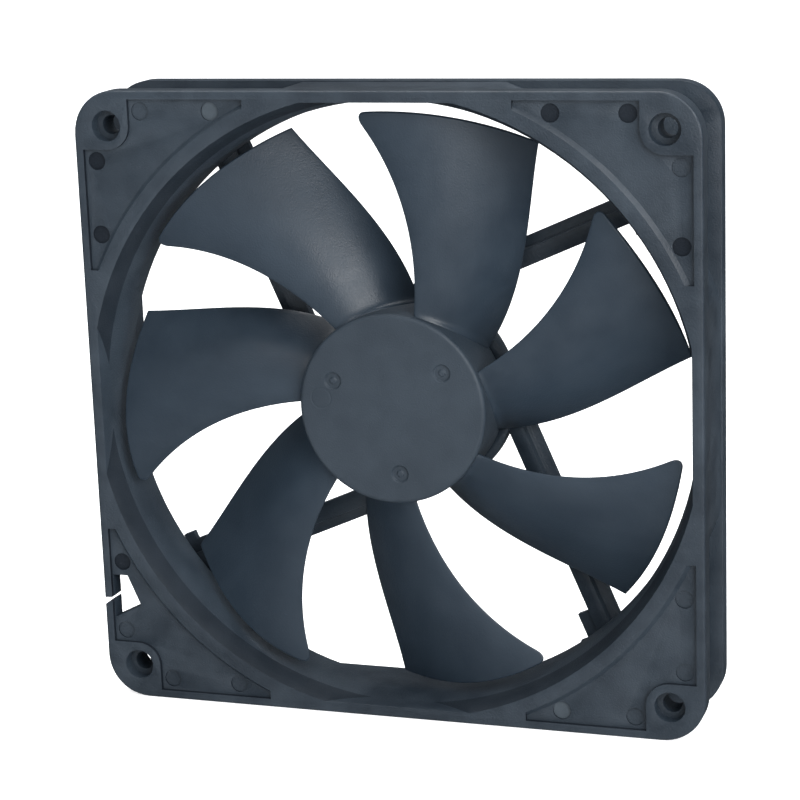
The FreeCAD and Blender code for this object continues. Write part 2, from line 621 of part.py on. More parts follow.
def round_flange_faces(body):
    # Rounds the outer edges of the two flange faces.
    document.recompute()
    base = body.Tip
    half = size("frame_width") / 2
    depth = size("frame_depth") / 2
    corner = half - size("corner_radius")

    def on_outline(edge):
        box = edge.BoundBox
        flat = box.YLength < 0.001 and abs(abs(box.YMin) - depth) < 0.001
        middle = edge.valueAt((edge.FirstParameter + edge.LastParameter) / 2)
        across = max(abs(middle.x), abs(middle.z))
        past_corner = math.hypot(abs(middle.x) - corner, abs(middle.z) - corner)
        in_corner = min(abs(middle.x), abs(middle.z)) > corner
        rounded = in_corner and abs(past_corner - size("corner_radius")) < 0.01
        return flat and (abs(across - half) < 0.001 or rounded)

    fillet = body.newObject("PartDesign::Fillet", "edge_rounding")
    fillet.Base = (base, edge_names(base.Shape, on_outline))
    fillet.setExpression("Radius", "Sizes.edge_rounding")


def build_frame():
    body = new_body("frame")
    add_duct(body)
    add_flange_plate(body, "front_flange", relief_floor, "Sizes.flange_thickness - Sizes.relief_depth")
    add_flange_plate(body, "rear_flange", rear_flange_front, "Sizes.flange_thickness")
    add_side_walls(body)
    add_front_relief(body)
    add_struts(body)
    add_motor_base(body)
    depth = size("frame_depth") / 2
    half = size("frame_width") / 2
    boss_side = half - size("hole_inset") - size("boss_radius")
    boss_rear = -depth + size("relief_depth")
    round_upright_edges(body, "flange_corners", half, "Sizes.corner_radius", -depth, depth)
    round_flange_faces(body)
    round_upright_edges(body, "boss_corners", boss_side, "Sizes.boss_radius", -depth, boss_rear)
    add_rear_bosses(body)
    add_screw_holes(body)
    add_ejector_marks(body)
    add_cable_notch(body)
    return body


# Impeller: hub and blades in one moulding.
def tip_radius():
    return size("frame_width") / 2 - size("throat_margin") - size("tip_clearance")


def hub_front_place():
    return -size("frame_depth") / 2 + size("hub_setback")


def hub_rear_place():
    return size("frame_depth") / 2 - size("base_depth") - size("hub_base_gap")


def blade_point(radius, share):
    # The middle surface of the first blade; share is 0 on the trailing and 1 on the leading edge.
    span = (radius - size("hub_radius")) / (tip_radius() - size("hub_radius"))
    lead_angle = size("lead_angle") + size("lead_sweep") * span + size("lead_bow") * span ** 2
    trail_angle = size("trail_angle") + size("trail_sweep") * span - size("trail_bow") * span ** 2
    lead_place = hub_front_place() + size("lead_setback") - size("lead_advance") * span
    lead_place -= size("lead_belly") * span * (1 - span)
    line = size("trail_taper_line")
    trail_place = hub_rear_place() - size("trail_setback")
    trail_place -= size("trail_taper") * span * (line + (1 - line) * span)
    camber = size("camber_root") + (size("camber_tip") - size("camber_root")) * span
    angle = math.radians(trail_angle + (lead_angle - trail_angle) * share)
    along = trail_place + (lead_place - trail_place) * share
    along -= camber * 4 * share * (1 - share) * (1 - size("camber_skew") * (1 - 2 * share))
    return Vector(radius * math.cos(angle), along, radius * math.sin(angle))


def blade_faces(inner, outer):
    # Two skinned sides, either side of the middle surface, closed by four strips.
    rows = 13
    columns = 15
    sides = {1: [], -1: []}
    for row in range(rows):
        radius = inner + (outer - inner) * row / (rows - 1)
        line = {1: [], -1: []}
        for column in range(columns):
            share = column / (columns - 1)
            spot = blade_point(radius, share)
            step = 0.01
            along_span = blade_point(radius + step, share) - spot
            along_chord = blade_point(radius, share + step) - spot
            normal = along_span.cross(along_chord).normalize()
            swell = math.sin(math.pi * share)
            half = (size("blade_edge") + (size("blade_thickness") - size("blade_edge")) * swell) / 2
            for side in sides:
                line[side].append(spot + normal * (half * side))
        for side in sides:
            sides[side].append(line[side])
    faces = []
    borders = []
    for side in sides:
        surface = Part.BSplineSurface()
        surface.interpolate(sides[side])
        faces.append(surface.toShape())
        borders.append([
            surface.uIso(0).toShape(),
            surface.uIso(1).toShape(),
            surface.vIso(0).toShape(),
            surface.vIso(1).toShape(),
        ])
    for upper, lower in zip(borders[0], borders[1]):
        faces.append(Part.makeRuledSurface(upper, lower))
    return faces


def tip_corner_cutter():
    # What lies outside an arc that is tangent to the leading edge and to the tip circle.
    rounding = size("tip_rounding")
    tip = tip_radius()
    corner = blade_point(tip, 1)
    corner.y = 0
    outward = corner - blade_point(tip - 1, 1)
    outward.y = 0
    outward.normalize()
    inward = Vector(outward.z, 0, -outward.x)
    beside = corner + inward * rounding
    # The arc's centre: beside the leading edge, on the circle that is one rounding inside the tips.
    lean = beside.dot(outward)
    slide = lean - math.sqrt(lean ** 2 - beside.dot(beside) + (tip - rounding) ** 2)
    centre = beside - outward * slide
    edge_foot = centre - inward * rounding
    tip_foot = centre * (tip / centre.Length)
    outline = Part.makePolygon([
        centre,
        edge_foot,
        edge_foot - inward * rounding,
        corner + (outward - inward) * rounding,
        tip_foot + outward * rounding,
        tip_foot,
        centre,
    ])
    deep = size("frame_depth")
    wedge = Part.Face(outline).extrude(Vector(0, 2 * deep, 0))
    wedge.translate(Vector(0, -deep, 0))
    middle = Part.makeCylinder(rounding, 2 * deep, centre - Vector(0, deep, 0), Vector(0, 1, 0))
    return wedge.cut(middle)


def build_blade():
    inner = size("hub_radius") - size("hub_wall") / 2
    outer = tip_radius() + 1
    shell = Part.Shell(blade_faces(inner, outer))
    shell.sewShape()
    blade = Part.Solid(shell)
    if blade.Volume < 0:
        blade.reverse()
    deep = size("frame_depth")
    tips = Part.makeCylinder(tip_radius(), 2 * deep, Vector(0, -deep, 0), Vector(0, 1, 0))
    blade = blade.common(tips).Solids[0]
    return blade.cut(tip_corner_cutter()).Solids[0]


def build_impeller():
    face = hub_front_place()
    rear = hub_rear_place()
    outer = size("hub_radius")
    inner = outer - size("hub_wall")
    axis_start = Vector(0, face, 0)
    backward = Vector(0, 1, 0)
    hub = Part.makeCylinder(outer, rear - face, axis_start, backward)
    rim = [edge for edge in hub.Edges if edge.BoundBox.YLength < 0.001 and edge.BoundBox.YMin < face + 0.001]
    hub = hub.makeFillet(size("hub_rounding"), rim)
    inside = Part.makeCylinder(inner, rear - face, Vector(0, face + size("hub_wall"), 0), backward)
    hub = hub.cut(inside)

    # Three gate dimples in the hub face, each with the stub of its gate.
    for count in range(3):
        angle = math.radians(size("dimple_angle") + 120 * count)
        spot = Vector(size("dimple_circle") * math.cos(angle), face, size("dimple_circle") * math.sin(angle))
        mouth = size("dimple_diameter") / 2
        dimple = Part.makeCone(mouth, mouth - size("dimple_draft"), size("dimple_depth"), spot, backward)
        floor = spot + Vector(0, size("dimple_depth") - size("gate_height"), 0)
        gate = Part.makeCylinder(size("gate_diameter") / 2, size("gate_height") + 0.1, floor, backward)
        hub = hub.cut(dimple).fuse(gate)

    blade = build_blade()
    blades = []
    for count in range(int(size("blade_count"))):
        copy = blade.copy()
        copy.rotate(Vector(0, 0, 0), Vector(0, 1, 0), 360 * count / size("blade_count"))
        blades.append(copy)
    whole = hub.fuse(blades).removeSplitter()
    feature = document.addObject("Part::Feature", "impeller")
    feature.Label = "impeller"
    feature.Shape = whole.Solids[0]
    feature.Placement = Placement(Vector(0, 0, 0), Rotation(Vector(0, 1, 0), 0))
    sub_parts.append(feature)
    return feature


# Rotor: yoke, magnet, bush, shaft and clip turn with the impeller.
def build_rotor_core():
    turned_part("rotor_yoke", [
        (bush_radius, hub_inside),
        (yoke_outer, hub_inside),
        (yoke_outer, yoke_rear),
        (magnet_outer, yoke_rear),
        (magnet_outer, yoke_floor),
        (bush_radius, yoke_floor),
    ])
    turned_part("ring_magnet", ring(magnet_inner, magnet_outer, magnet_front, magnet_rear))
    turned_part("shaft_bush", ring("Sizes.shaft_radius", bush_radius, hub_inside, bush_rear))
    groove = "(Sizes.shaft_radius - Sizes.clip_groove)"
    turned_part("shaft", [
        ("0", hub_inside),
        ("Sizes.shaft_radius", hub_inside),
        ("Sizes.shaft_radius", clip_front),
        (groove, clip_front),
        (groove, clip_rear),
        ("Sizes.shaft_radius", clip_rear),
        ("Sizes.shaft_radius", f"({shaft_end} - Sizes.shaft_chamfer)"),
        ("(Sizes.shaft_radius - Sizes.shaft_chamfer)", shaft_end),
        ("0", shaft_end),
    ])
    clip_radius = "(Sizes.tube_bore - Sizes.clip_clearance)"
    turned_part("retaining_clip", ring(groove, clip_radius, clip_front, clip_rear))


# Bearing: the tube stands in the motor base and holds the sleeve bearing and what closes it.
def build_bearing():
    turned_part("bearing_tube", ring("Sizes.tube_bore", tube_outer, tube_front, label_seat))
    seal_bore = "(Sizes.shaft_radius + Sizes.seal_clearance)"
    bearing_bore = "(Sizes.shaft_radius + Sizes.bearing_clearance)"
    turned_part("oil_seal_ring", ring(seal_bore, "Sizes.tube_bore", tube_front, seal_rear))
    turned_part("sleeve_bearing", ring(bearing_bore, "Sizes.tube_bore", seal_rear, bearing_rear))
    turned_part("thrust_pad", ring("0", "Sizes.tube_bore", pad_front, cap_front))
    turned_part("end_cap", ring("0", "Sizes.tube_bore", cap_front, label_seat))


# Stator: a four-tooth core between two insulators, with a winding round each tooth.
core_length = f"{core_rear} - {core_front}"


def build_core():
    body = new_body("stator_core")
    hoop = new_sketch(body, "core_ring_outline", "XZ_Plane", at_plane(core_front))
    add_circle(hoop, "0", "0", core_ring)
    add_circle(hoop, "0", "0", tube_outer)
    extrude(body, "core_ring", hoop, core_length)
    teeth = new_sketch(body, "teeth_outline", "XZ_Plane", at_plane(core_front))
    rectangles_all_round(teeth, f"({tube_outer} + 1)", f"({shoe_inner} + 0.5)", "(Sizes.tooth_width / 2)")
    extrude(body, "teeth", teeth, core_length)
    shoes = new_sketch(body, "shoes_outline", "XZ_Plane", at_plane(core_front))
    add_circle(shoes, "0", "0", core_outer)
    add_circle(shoes, "0", "0", shoe_inner)
    extrude(body, "shoes", shoes, core_length)
    slots = new_sketch(body, "slot_outlines", "XZ_Plane", at_plane(core_front))
    turn_sketch(slots, Vector(0, 0, 1), "45")
    rectangles_all_round(slots, f"({shoe_inner} - 1)", f"({core_outer} + 1)", "(Sizes.slot_opening / 2)")
    extrude(body, "slots", slots, core_length, cut=True)


def build_insulator(label, face, rearward):
    # A plate over the core with an arm on each tooth, and walls that hold the windings.
    body = new_body(label)
    wall_height = "Sizes.insulator_plate + Sizes.winding_depth"
    plate = new_sketch(body, label + "_plate_outline", "XZ_Plane", at_plane(face))
    add_circle(plate, "0", "0", bobbin_inner)
    add_circle(plate, "0", "0", tube_outer)
    extrude(body, label + "_plate", plate, "Sizes.insulator_plate", rearward=rearward)
    arms = new_sketch(body, label + "_arm_outlines", "XZ_Plane", at_plane(face))
    rectangles_all_round(arms, f"({bobbin_inner} - 1)", shoe_inner, coil_half)
    extrude(body, label + "_arms", arms, "Sizes.insulator_plate", rearward=rearward)
    inner_wall = new_sketch(body, label + "_inner_wall_outline", "XZ_Plane", at_plane(face))
    add_circle(inner_wall, "0", "0", bobbin_inner)
    add_circle(inner_wall, "0", "0", core_ring)
    extrude(body, label + "_inner_wall", inner_wall, wall_height, rearward=rearward)
    outer_walls = new_sketch(body, label + "_outer_wall_outlines", "XZ_Plane", at_plane(face))
    rectangles_all_round(outer_walls, bobbin_outer, shoe_inner, f"({coil_half} + Sizes.winding_depth)")
    extrude(body, label + "_outer_walls", outer_walls, wall_height, rearward=rearward)


def build_coil(count):
    # A winding round the tooth that points along +X, then turned onto its own tooth.
    body = new_body(f"coil_{count + 1}", 90 * count)
    start = f"({bobbin_inner} + Sizes.winding_gap)"
    outer_half = f"({coil_half} + Sizes.winding_depth)"
    hole_front = f"({core_front} - Sizes.insulator_plate)"
    hole_rear = f"({core_rear} + Sizes.insulator_plate)"
    loop = new_sketch(body, f"coil_{count + 1}_outline", "YZ_Plane", start)
    add_outline(loop, rectangle(coil_front, f"(-{outer_half})", coil_rear, outer_half))
    add_outline(loop, rectangle(hole_front, f"(-{coil_half})", hole_rear, coil_half))
    pad = body.newObject("PartDesign::Pad", f"coil_{count + 1}_winding")
    pad.Profile = loop
    pad.setExpression("Length", f"{bobbin_outer} - {bobbin_inner} - 2 * Sizes.winding_gap")
    document.recompute()
    front = min(vertex.Y for vertex in pad.Shape.Vertexes)
    rear = max(vertex.Y for vertex in pad.Shape.Vertexes)

    def outer_corner(edge):
        box = edge.BoundBox
        return box.XLength > 1 and (abs(box.YMin - front) < 0.01 or abs(box.YMax - rear) < 0.01)

    fillet = body.newObject("PartDesign::Fillet", f"coil_{count + 1}_rounding")
    fillet.Base = (pad, edge_names(pad.Shape, outer_corner))
    fillet.setExpression("Radius", "Sizes.winding_depth * 0.85")


def add_pin_circles(sketch, radius):
    # Three places, midway between the teeth.
    turn_sketch(sketch, Vector(0, 0, 1), "45")
    for across, along in ((pin_circle, "0"), ("0", pin_circle), (f"(-{pin_circle})", "0")):
        add_circle(sketch, across, along, radius)


def build_pins():
    # The pins stand on the rear insulator and pass through the board.
    body = new_body("terminal_pins")
    foot = f"({core_rear} + Sizes.insulator_plate)"
    pins = new_sketch(body, "pin_outlines", "XZ_Plane", at_plane(foot))
    add_pin_circles(pins, "Sizes.pin_radius")
    extrude(body, "pins", pins, f"{board_rear} + Sizes.pin_tail - {foot}")


# Circuit board in the motor base, with what is soldered to it.
def build_board():
    body = new_body("circuit_board")
    disc = new_sketch(body, "board_outline", "XZ_Plane", at_plane(board_front))
    add_circle(disc, "0", "0", board_radius)
    add_circle(disc, "0", "0", f"({collar_radius} + Sizes.board_bore_clearance)")
    extrude(body, "board", disc, "Sizes.board_thickness")
    holes = new_sketch(body, "pin_hole_outlines", "XZ_Plane", at_plane(board_front))
    add_pin_circles(holes, "(Sizes.pin_radius + Sizes.pin_clearance)")
    extrude(body, "pin_holes", holes, "Sizes.board_thickness", cut=True)


def build_packages(label, kind, centre, steps, place, rearward):
    # Flat packages on one face of the board, side by side across a ray.
    body = new_body(label)
    outlines = new_sketch(body, label + "_outlines", "XZ_Plane", at_plane(place))
    turn_sketch(outlines, Vector(0, 0, 1), f"Sizes.{kind}_angle")
    near = f"({centre} - Sizes.{kind}_length / 2)"
    far = f"({centre} + Sizes.{kind}_length / 2)"
    for step in steps:
        middle = f"{step} * Sizes.{kind}_spacing"
        low = f"({middle} - Sizes.{kind}_width / 2)"
        high = f"({middle} + Sizes.{kind}_width / 2)"
        add_outline(outlines, rectangle(near, low, far, high))
    extrude(body, label + "_packages", outlines, f"Sizes.{kind}_height", rearward=rearward)


def build_board_parts():
    under_magnet = f"(({magnet_inner} + {magnet_outer}) / 2)"
    chip_place = f"(({bobbin_inner} + {board_radius}) / 2)"
    near_rim = f"({board_radius} - Sizes.board_ledge - 1.5 * Sizes.pad_length)"
    build_packages("hall_sensor", "hall", under_magnet, [0], board_front, False)
    build_packages("driver_ic", "driver", chip_place, [0], board_front, False)
    build_packages("resistors", "resistor", chip_place, [-1, 0, 1], board_rear, True)
    build_packages("capacitors", "capacitor", chip_place, [-0.5, 0.5], board_rear, True)
    build_packages("lead_pads", "pad", near_rim, [-1, 0, 1], board_rear, True)


def build_label():
    body = new_body("rear_label")
    disc = new_sketch(body, "label_outline", "XZ_Plane", at_plane(label_seat))
    add_circle(disc, "0", "0", f"({label_recess_radius} - Sizes.label_clearance)")
    extrude(body, "label_disc", disc, "Sizes.label_thickness")


build_frame()
build_impeller()
build_rotor_core()
build_bearing()
build_core()
build_insulator("insulator_front", core_front, False)
build_insulator("insulator_rear", core_rear, True)
for tooth in range(4):
    build_coil(tooth)
build_pins()
build_board()
build_board_parts()
build_label()
document.recompute()

for item in document.Objects:
    for fault in ("Invalid", "Error"):
        if fault in item.State:
            raise RuntimeError(f"{item.Name} is {item.State}")
for item in sub_parts:
    if item.Shape.isNull() or not item.Shape.isValid():
        raise RuntimeError(f"{item.Label} has no valid shape")

os.makedirs("parts", exist_ok=True)
for item in sub_parts:
    item.Shape.exportStep(f"parts/{item.Label}.step")
    print(item.Label, len(item.Shape.Solids), "solids", round(item.Shape.Volume, 1), "mm3")
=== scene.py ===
import json
import math
import bpy
import bmesh
import numpy as np
from mathutils import Matrix, Vector


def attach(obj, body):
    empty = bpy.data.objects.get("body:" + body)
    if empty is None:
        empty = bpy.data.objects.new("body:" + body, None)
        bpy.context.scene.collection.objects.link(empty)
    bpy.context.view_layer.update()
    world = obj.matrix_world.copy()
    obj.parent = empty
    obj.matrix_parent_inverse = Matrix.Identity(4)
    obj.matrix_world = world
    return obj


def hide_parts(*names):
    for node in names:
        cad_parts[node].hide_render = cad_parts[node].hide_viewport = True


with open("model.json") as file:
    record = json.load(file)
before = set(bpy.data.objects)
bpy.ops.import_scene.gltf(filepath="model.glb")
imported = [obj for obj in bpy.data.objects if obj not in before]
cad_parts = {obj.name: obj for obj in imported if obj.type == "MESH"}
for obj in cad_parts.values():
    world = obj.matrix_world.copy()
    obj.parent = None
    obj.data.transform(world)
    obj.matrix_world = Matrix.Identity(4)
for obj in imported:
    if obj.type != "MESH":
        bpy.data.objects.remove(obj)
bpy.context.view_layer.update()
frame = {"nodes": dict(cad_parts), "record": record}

mm = 0.001  # shapes are worked out in millimetres, meshes are in metres


def newPiece(name, points, faces, body, material, smoothAngle=35):
    # Points in millimetres go into a mesh in metres; its faces point outwards after the recalculation.
    mesh = bpy.data.meshes.new(name)
    mesh.from_pydata((points * mm).tolist(), [], faces)
    mesh.validate()
    work = bmesh.new()
    work.from_mesh(mesh)
    bmesh.ops.remove_doubles(work, verts=work.verts, dist=1e-6)
    bmesh.ops.recalc_face_normals(work, faces=work.faces)
    work.to_mesh(mesh)
    work.free()
    smoothAll(mesh)
    mesh.set_sharp_from_angle(angle=math.radians(smoothAngle))
    mesh.materials.append(material)
    piece = placeInScene(name, mesh)
    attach(piece, body)
    return piece


def smoothAll(mesh):
    mesh.polygons.foreach_set("use_smooth", np.ones(len(mesh.polygons), bool))


def placeInScene(name, data):
    thing = bpy.data.objects.new(name, data)
    bpy.context.scene.collection.objects.link(thing)
    return thing


def gridFaces(rows, columns, wrapColumns=True):
    # Quads between neighbouring rows and columns of a grid, the last column joined to the first if it wraps.
    row = np.arange(rows - 1)[:, None]
    column = np.arange(columns if wrapColumns else columns - 1)[None, :]
    after = (column + 1) % columns
    corners = [row * columns + column, row * columns + after,
               (row + 1) * columns + after, (row + 1) * columns + column]
    return np.stack(corners, axis=-1).reshape(-1, 4).tolist()


def softStep(value, width):
    # Goes smoothly from 0 to 1 as value goes from minus to plus half the width.
    t = np.clip(value / width + 0.5, 0, 1)
    return t * t * (3 - 2 * t)


def nodeTree(name):
    material = bpy.data.materials.new(name)
    material.use_nodes = True
    tree = material.node_tree
    tree.nodes.clear()
    output = tree.nodes.new("ShaderNodeOutputMaterial")
    shader = tree.nodes.new("ShaderNodeBsdfPrincipled")
    tree.links.new(shader.outputs["BSDF"], output.inputs["Surface"])
    place = tree.nodes.new("ShaderNodeTexCoord")
    return material, tree, shader, place.outputs["Object"]


def noise(tree, place, scale, detail=3.0, rough=0.55, stretch=None):
    # Scale is in waves per metre; stretch multiplies it along X, Y and Z.
    source = place
    if stretch:
        mapping = tree.nodes.new("ShaderNodeMapping")
        mapping.inputs["Scale"].default_value = stretch
        tree.links.new(place, mapping.inputs["Vector"])
        source = mapping.outputs["Vector"]
    texture = tree.nodes.new("ShaderNodeTexNoise")
    texture.inputs["Scale"].default_value = scale
    texture.inputs["Detail"].default_value = detail
    texture.inputs["Roughness"].default_value = rough
    tree.links.new(source, texture.inputs["Vector"])
    return texture.outputs["Fac"]


def spread(tree, value, low, high, outLow, outHigh):
    # Takes the range low to high onto outLow to outHigh.
    node = tree.nodes.new("ShaderNodeMapRange")
    node.inputs["From Min"].default_value = low
    node.inputs["From Max"].default_value = high
    node.inputs["To Min"].default_value = outLow
    node.inputs["To Max"].default_value = outHigh
    tree.links.new(value, node.inputs["Value"])
    return node.outputs["Result"]


def mixColor(tree, share, first, second):
    node = tree.nodes.new("ShaderNodeMix")
    node.data_type = "RGBA"
    tree.links.new(share, node.inputs["Factor"])
    for socket, value in ((node.inputs[6], first), (node.inputs[7], second)):
        if isinstance(value, tuple):
            socket.default_value = (*value, 1.0)
        else:
            tree.links.new(value, socket)
    return node.outputs[2]


def reckon(tree, operation, first, second):
    node = tree.nodes.new("ShaderNodeMath")
    node.operation = operation
    for socket, value in zip(node.inputs, (first, second)):
        if isinstance(value, (int, float)):
            socket.default_value = value
        else:
            tree.links.new(value, socket)
    return node.outputs[0]


def blendOf(tree, first, firstShare, second, secondShare):
    # The sum of two patterns, each times its share.
    return reckon(tree, "ADD", reckon(tree, "MULTIPLY", first, firstShare),
                  reckon(tree, "MULTIPLY", second, secondShare))


def bump(tree, shader, layers):
    # Each layer is a height and how deep it goes, in metres.
    normal = None
    for height, depth in layers:
        node = tree.nodes.new("ShaderNodeBump")
        node.inputs["Distance"].default_value = depth
        node.inputs["Strength"].default_value = 1.0
        tree.links.new(height, node.inputs["Height"])
        if normal:
            tree.links.new(normal, node.inputs["Normal"])
        normal = node.outputs["Normal"]
    tree.links.new(normal, shader.inputs["Normal"])


# Colours are linear; grain and rings are bump depths in millimetres.
plasticLook = {
    "frame": {"color": (0.0135, 0.0205, 0.0295), "fade": (0.026, 0.037, 0.050),
              "rough": 0.47, "shine": 0.40, "grain": 0.10, "rings": 0.03},
    # The next colour is painted shade for the upright sides of the reliefs, also used on a few ejector marks.
    "walls": {"color": (0.006, 0.009, 0.014), "fade": (0.011, 0.015, 0.021),
              "rough": 0.62, "shine": 0.15, "grain": 0.08, "rings": 0.0},
    # The next colour is painted shade: the narrowing mouth of the bore darker than the frame.
    "mouth": {"color": (0.008, 0.0125, 0.0185), "fade": (0.014, 0.020, 0.028),
              "rough": 0.55, "shine": 0.25, "grain": 0.07, "rings": 0.03},
    "spots": {"color": (0.034, 0.046, 0.058), "fade": (0.052, 0.067, 0.082),
              "rough": 0.42, "shine": 0.45, "grain": 0.05, "rings": 0.0},
    "blades": {"color": (0.0155, 0.0245, 0.036), "fade": (0.0205, 0.0315, 0.045),
               "rough": 0.38, "shine": 0.34, "grain": 0.04, "rings": 0.0},
    "hub": {"color": (0.020, 0.0295, 0.041), "fade": (0.025, 0.036, 0.049),
            "rough": 0.55, "shine": 0.36, "grain": 0.06, "rings": 0.0},
}
plasticPattern = {
    "flow": 38.0, "flowShare": 0.65, "cloud": 160.0, "cloudShare": 0.35, "cloudDepth": 0.06, "grain": 2600.0,
    "scuff": 420.0, "scuffStretch": (1.0, 1.0, 3.2), "scuffFrom": 0.66, "scuffTo": 0.80, "scuffShare": 0.55,
    "scuffPaler": 1.7, "ringWaves": 700.0, "ringTurn": 1.3,
}


def ringCoordinates(tree, place):
    # Distance from the axis, place along it and a little of the angle, so that a pattern runs round the bore.
    waves = plasticPattern["ringWaves"]
    split = tree.nodes.new("ShaderNodeSeparateXYZ")
    tree.links.new(place, split.inputs[0])
    x, y, z = split.outputs
    squares = reckon(tree, "ADD", reckon(tree, "MULTIPLY", x, x), reckon(tree, "MULTIPLY", z, z))
    far = reckon(tree, "MULTIPLY", reckon(tree, "SQRT", squares, 0.0), waves)
    along = reckon(tree, "MULTIPLY", y, waves)
    turned = reckon(tree, "MULTIPLY", reckon(tree, "ARCTAN2", z, x), plasticPattern["ringTurn"])
    join = tree.nodes.new("ShaderNodeCombineXYZ")
    for socket, value in zip(join.inputs, (far, along, turned)):
        tree.links.new(value, socket)
    return join.outputs[0]


def mouldedPlastic(name, look):
    # Spark-eroded grain, faint flow marks and a few paler scuffs.
    material, tree, shader, place = nodeTree(name)
    pattern = plasticPattern
    flow = noise(tree, place, pattern["flow"], 4.0, 0.6)
    cloud = noise(tree, place, pattern["cloud"], 3.0, 0.6)
    grain = noise(tree, place, pattern["grain"], 2.0, 0.5)
    scuff = noise(tree, place, pattern["scuff"], 5.0, 0.7, pattern["scuffStretch"])
    rings = noise(tree, ringCoordinates(tree, place), 1.0, 3.0, 0.6)
    tone = spread(tree, blendOf(tree, flow, pattern["flowShare"], cloud, pattern["cloudShare"]),
                  0.38, 0.62, 0.0, 1.0)
    base = mixColor(tree, tone, look["color"], look["fade"])
    paler = tuple(value * pattern["scuffPaler"] for value in look["fade"])
    marks = spread(tree, scuff, pattern["scuffFrom"], pattern["scuffTo"], 0.0, pattern["scuffShare"])
    tree.links.new(mixColor(tree, marks, base, paler), shader.inputs["Base Color"])
    rough = reckon(tree, "ADD", spread(tree, cloud, 0.3, 0.7, look["rough"] - 0.05, look["rough"] + 0.06),
                   spread(tree, grain, 0.3, 0.7, -0.03, 0.03))
    tree.links.new(rough, shader.inputs["Roughness"])
    shader.inputs["Specular IOR Level"].default_value = look["shine"]
    bump(tree, shader, [(grain, look["grain"] * mm), (cloud, pattern["cloudDepth"] * mm),
                        (rings, look["rings"] * mm)])
    return material


metalPattern = {"stain": 220.0, "darker": 0.72, "lineDepth": 0.03, "smoother": 0.07, "rougher": 0.1}


def metal(name, color, rough, lines, stretch):
    # Fine drawn, ground or wound lines in one direction.
    material, tree, shader, place = nodeTree(name)
    streaks = noise(tree, place, lines, 3.0, 0.6, stretch)
    stain = noise(tree, place, metalPattern["stain"], 3.0, 0.6)
    darker = tuple(value * metalPattern["darker"] for value in color)
    tree.links.new(mixColor(tree, spread(tree, stain, 0.35, 0.65, 0.0, 1.0), darker, color),
                   shader.inputs["Base Color"])
    tree.links.new(spread(tree, streaks, 0.3, 0.7, rough - metalPattern["smoother"],
                          rough + metalPattern["rougher"]), shader.inputs["Roughness"])
    shader.inputs["Metallic"].default_value = 1.0
    bump(tree, shader, [(streaks, metalPattern["lineDepth"] * mm)])
    return material


boardLook = {
    "weave": 900.0, "flat": 0.2, "color": (0.012, 0.10, 0.035), "fade": (0.02, 0.16, 0.06),
    "roughFrom": 0.22, "roughTo": 0.34, "depth": 0.02,
}


def paintedBoard(name):
    # Green lacquer over a faint glass weave.
    material, tree, shader, place = nodeTree(name)
    weave = noise(tree, place, boardLook["weave"], 1.0, 0.5, (1.0, 1.0, boardLook["flat"]))
    cross = noise(tree, place, boardLook["weave"], 1.0, 0.5, (boardLook["flat"], 1.0, 1.0))
    both = blendOf(tree, weave, 0.5, cross, 0.5)
    tone = spread(tree, both, 0.4, 0.6, 0.0, 1.0)
    tree.links.new(mixColor(tree, tone, boardLook["color"], boardLook["fade"]), shader.inputs["Base Color"])
    tree.links.new(spread(tree, both, 0.3, 0.7, boardLook["roughFrom"], boardLook["roughTo"]),
                   shader.inputs["Roughness"])
    bump(tree, shader, [(both, boardLook["depth"] * mm)])
    return material


wireLook = {
    # The gap colour is painted shade between the turns; the crown colour is the wire's own.
    "waves": 900.0, "wander": 0.8, "gap": (0.25, 0.07, 0.02), "crown": (0.75, 0.30, 0.11),
    "roughGap": 0.42, "roughCrown": 0.25, "depth": 0.12,
}


def windings(name):
    # Round turns of enamelled wire lying side by side, with painted shade in the gaps between turns.
    material, tree, shader, place = nodeTree(name)
    wave = tree.nodes.new("ShaderNodeTexWave")
    wave.wave_type = "BANDS"
    wave.bands_direction = "DIAGONAL"
    wave.inputs["Scale"].default_value = wireLook["waves"]
    wave.inputs["Distortion"].default_value = wireLook["wander"]
    wave.inputs["Detail"].default_value = 1.0
    tree.links.new(place, wave.inputs["Vector"])
    turns = wave.outputs["Fac"]
    tree.links.new(mixColor(tree, turns, wireLook["gap"], wireLook["crown"]), shader.inputs["Base Color"])
    shader.inputs["Metallic"].default_value = 1.0
    tree.links.new(spread(tree, turns, 0.0, 1.0, wireLook["roughGap"], wireLook["roughCrown"]),
                   shader.inputs["Roughness"])
    bump(tree, shader, [(turns, wireLook["depth"] * mm)])
    return material


labelLook = {
    "crinkle": 190.0, "fibre": 1500.0, "color": (0.34, 0.35, 0.37), "fade": (0.43, 0.44, 0.46),
    "roughFrom": 0.33, "roughTo": 0.45, "crinkleDepth": 0.05, "fibreDepth": 0.01,
}


def labelFilm(name):
    # Plain silver-grey film, slightly crinkled, nothing printed on it.
    material, tree, shader, place = nodeTree(name)
    crinkle = noise(tree, place, labelLook["crinkle"], 4.0, 0.6)
    fibre = noise(tree, place, labelLook["fibre"], 2.0, 0.5)
    tone = spread(tree, crinkle, 0.35, 0.65, 0.0, 1.0)
    tree.links.new(mixColor(tree, tone, labelLook["color"], labelLook["fade"]), shader.inputs["Base Color"])
    tree.links.new(spread(tree, fibre, 0.3, 0.7, labelLook["roughFrom"], labelLook["roughTo"]),
                   shader.inputs["Roughness"])
    bump(tree, shader, [(crinkle, labelLook["crinkleDepth"] * mm), (fibre, labelLook["fibreDepth"] * mm)])
    return material


dullPattern = {"cloud": 300.0, "grain": 3000.0, "darker": 0.75, "roughSwing": 0.06}


